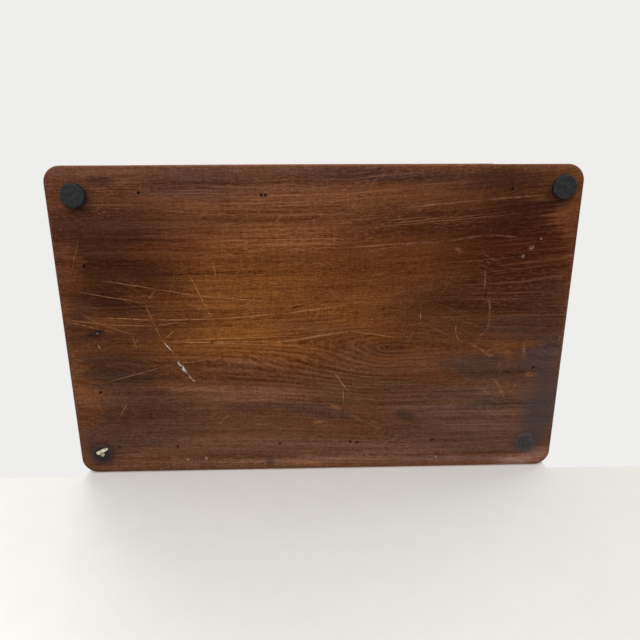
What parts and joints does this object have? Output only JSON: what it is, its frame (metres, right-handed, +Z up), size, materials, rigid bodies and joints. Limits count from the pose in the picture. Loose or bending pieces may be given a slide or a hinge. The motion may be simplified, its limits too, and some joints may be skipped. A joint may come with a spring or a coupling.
{
  "type": "jewelry box",
  "caption": "Dovetailed mahogany jewelry box on a worn base board, with an inlaid hinged lid, a mirror, a velvet-lined well with ring rolls, a drawer and a lock.",
  "frame": {"origin": "middle of the base, on the surface that the feet stand on", "axes": "+X along the width to the right, +Y from the front to the back, +Z up"},
  "size_m": [0.312, 0.196, 0.15],
  "materials": {
    "mahogany": "old oil varnish, worn and scratched",
    "cedar": "bare planed wood",
    "boxwood": "flush inlay under varnish",
    "satinwood": "flush cross-grained inlay under varnish",
    "walnut": "flush inlay under varnish",
    "ebony": "flush inlay under varnish",
    "brass": "aged satin brass",
    "steel": "dull rusted iron",
    "rubber": "matt black rubber",
    "glue": "hard black glue",
    "velvet": "short dark red pile",
    "mirror": "silvered plate glass"
  },
  "bodies": {
    "case": {"base_board": "mahogany", "base_nails": "steel", "left_foot": "rubber", "right_foot": "rubber", "glue_patches": "glue", "front_wall": "mahogany", "back_wall": "mahogany", "left_wall": "mahogany", "right_wall": "mahogany", "well_floor": "cedar", "left_drawer_guide": "cedar", "right_drawer_guide": "cedar", "drawer_stops": "cedar", "floor_lining": "velvet", "side_linings": "velvet", "long_divider": "mahogany", "cross_dividers": "mahogany", "ring_rolls": "velvet", "left_hinge_case_leaf": "brass", "right_hinge_case_leaf": "brass", "hinge_pins": "brass", "case_hinge_screws": "brass", "lock_plate": "brass", "lock_case": "brass", "lock_screws": "brass", "keyhole_escutcheon": "boxwood", "front_stringing": "boxwood", "side_stringing": "boxwood"},
    "lid": {"lid_board": "mahogany", "lid_front_rail": "mahogany", "lid_back_rail": "mahogany", "lid_left_rail": "mahogany", "lid_right_rail": "mahogany", "lid_stringing": "boxwood", "lid_crossbanding": "satinwood", "star_ring": "boxwood", "star_field": "walnut", "star_light_points": "boxwood", "star_dark_points": "ebony", "light_fan_blades": "boxwood", "dark_fan_blades": "walnut", "mirror_glass": "mirror", "mirror_beading": "mahogany", "left_hinge_lid_leaf": "brass", "right_hinge_lid_leaf": "brass", "lid_hinge_screws": "brass", "staple_plate": "brass", "staple_screws": "brass"},
    "drawer": {"drawer_front": "mahogany", "drawer_left_side": "cedar", "drawer_right_side": "cedar", "drawer_back": "cedar", "drawer_bottom": "cedar", "drawer_lining": "velvet", "drawer_knobs": "brass", "knob_screws": "brass", "drawer_stringing": "boxwood"},
    "bolt": {"lock_bolt": "brass"}
  },
  "joints": [
    {"name": "lid_hinge", "type": "hinge", "parent": "case", "child": "lid", "pos_m": [0, 0.0885, 0.1112], "axis": [-1, 0, 0], "range_deg": [0, 98]},
    {"name": "drawer_slide", "type": "slide", "parent": "case", "child": "drawer", "axis": [0, -1, 0], "range_m": [0, 0.11]},
    {"name": "bolt_slide", "type": "slide", "parent": "case", "child": "bolt", "axis": [1, 0, 0], "range_m": [0, 0.006]}
  ]
}
